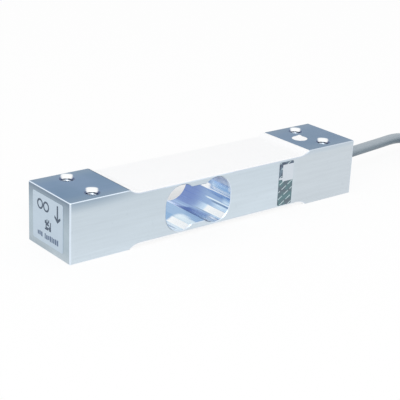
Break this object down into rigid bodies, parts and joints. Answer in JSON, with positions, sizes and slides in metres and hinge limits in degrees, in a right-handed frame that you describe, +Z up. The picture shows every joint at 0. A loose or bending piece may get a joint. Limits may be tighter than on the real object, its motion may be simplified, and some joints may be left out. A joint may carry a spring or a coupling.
{
  "type": "single point load cell",
  "caption": "Aluminium single point load cell with a binocular cut-out, tapped end pads, white silicone covering and a grey signal cable folded into a hank.",
  "frame": {"origin": "middle of the beam's underside, on the plane that the two end pads stand on", "axes": "+X along the beam towards the cable end, +Y across the beam, +Z up against the load"},
  "size_m": [0.3186, 0.0489, 0.0259],
  "materials": {
    "beam_aluminium": "fine milled, satin",
    "gauge_backing": "amber polyimide film",
    "gauge_foil": "etched constantan foil",
    "copper_terminal": "tinned copper on film",
    "lead_enamel": "enamelled copper wire",
    "white_silicone": "poured, matt",
    "board_laminate": "glass laminate",
    "resistor_body": "film resistor",
    "wire_red": "PVC insulation",
    "wire_black": "PVC insulation",
    "wire_green": "PVC insulation",
    "wire_white": "PVC insulation",
    "wire_yellow": "PVC sleeve on the shield",
    "tinned_strands": "tinned copper strands",
    "seal_compound": "cured adhesive",
    "cable_jacket": "grey PVC jacket",
    "shrink_sleeve": "shrunk sleeve",
    "tie_nylon": "moulded nylon",
    "foil_print": "printed foil",
    "foil_blank": "blank paper field",
    "label_film": "satin polyester label"
  },
  "bodies": {
    "root": {"beam_body": "beam_aluminium", "gauge_backing_upper_outer": "gauge_backing", "gauge_foil_upper_outer": "gauge_foil", "gauge_terminal_upper_outer": "copper_terminal", "gauge_lead_upper_outer": "lead_enamel", "gauge_backing_upper_inner": "gauge_backing", "gauge_foil_upper_inner": "gauge_foil", "gauge_terminal_upper_inner": "copper_terminal", "gauge_lead_upper_inner": "lead_enamel", "upper_covering": "white_silicone", "gauge_backing_lower_outer": "gauge_backing", "gauge_foil_lower_outer": "gauge_foil", "gauge_terminal_lower_outer": "copper_terminal", "gauge_lead_lower_outer": "lead_enamel", "gauge_backing_lower_inner": "gauge_backing", "gauge_foil_lower_inner": "gauge_foil", "gauge_terminal_lower_inner": "copper_terminal", "gauge_lead_lower_inner": "lead_enamel", "lower_covering": "white_silicone", "compensation_board": "board_laminate", "span_resistor": "resistor_body", "zero_resistor": "resistor_body", "temperature_resistor": "resistor_body", "pocket_potting": "white_silicone", "inner_wire_red": "wire_red", "inner_wire_black": "wire_black", "inner_wire_green": "wire_green", "inner_wire_white": "wire_white", "wiring_hole_sealant": "white_silicone", "cable_seal_ring": "seal_compound", "cable_jacket_in_bore": "cable_jacket", "side_foil": "foil_print", "side_foil_blank_field": "foil_blank", "end_label": "label_film", "cable_lead": "cable_jacket", "cable_hank": "cable_jacket", "cable_end": "cable_jacket", "cable_end_sleeve": "shrink_sleeve", "hank_tie_near": "tie_nylon", "hank_tie_far": "tie_nylon", "free_wire_red": "wire_red", "free_strand_red": "tinned_strands", "free_wire_black": "wire_black", "free_strand_black": "tinned_strands", "free_wire_shield": "wire_yellow", "free_strand_shield": "tinned_strands", "free_wire_green": "wire_green", "free_strand_green": "tinned_strands", "free_wire_white": "wire_white", "free_strand_white": "tinned_strands"}
  },
  "joints": []
}
